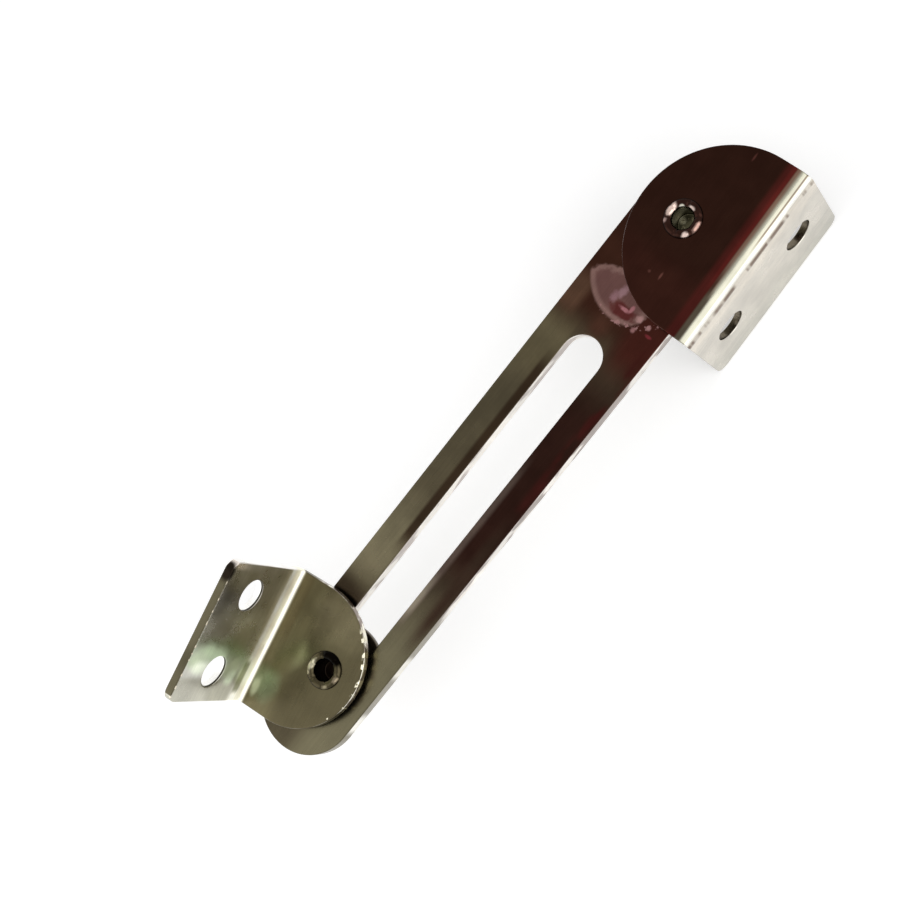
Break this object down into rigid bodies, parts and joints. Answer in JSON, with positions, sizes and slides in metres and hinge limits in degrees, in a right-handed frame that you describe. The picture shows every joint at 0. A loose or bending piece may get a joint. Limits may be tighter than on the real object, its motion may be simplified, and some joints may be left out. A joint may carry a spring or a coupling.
{
  "type": "side hinge",
  "caption": "Side hinge: a slotted plated steel arm with a bent screw-on bracket riveted near each end, the lower one sliding along the slot and turning.",
  "frame": {"origin": "midway between the upper bracket's screw holes, on the outer face of its flange", "axes": "+X along the upper bend away from the arm, -Y out of the upper flange, +Z along the pivots, towards the side that the leaves lie on"},
  "size_m": [0.1349, 0.0351, 0.0464],
  "materials": {
    "arm_plate": "bright plated steel",
    "upper_plate": "bright plated steel",
    "lower_plate": "bright plated steel",
    "rivet_plate": "bright plated steel",
    "washer_steel": "dull steel"
  },
  "bodies": {
    "upper_leaf": {"upper_bracket": "upper_plate", "upper_rivet": "rivet_plate", "upper_washer": "washer_steel"},
    "arm": {"slotted_arm": "arm_plate"},
    "slider": {"lower_front_washer": "washer_steel", "lower_back_washer": "washer_steel"},
    "lower_leaf": {"lower_bracket": "lower_plate", "lower_rivet": "rivet_plate"}
  },
  "joints": [
    {"name": "upper_pivot", "type": "hinge", "parent": "upper_leaf", "child": "arm", "pos_m": [0, 0.014, 0.0085], "axis": [0, 0, -1], "range_deg": [-9, 184]},
    {"name": "slot_slide", "type": "slide", "parent": "arm", "child": "slider", "axis": [0.999, -0.0436, 0], "range_m": [-0.0069, 0.058]},
    {"name": "lower_pivot", "type": "hinge", "parent": "slider", "child": "lower_leaf", "pos_m": [-0.1009, 0.01841, 0.0085], "axis": [0, 0, 1], "continuous": true}
  ]
}
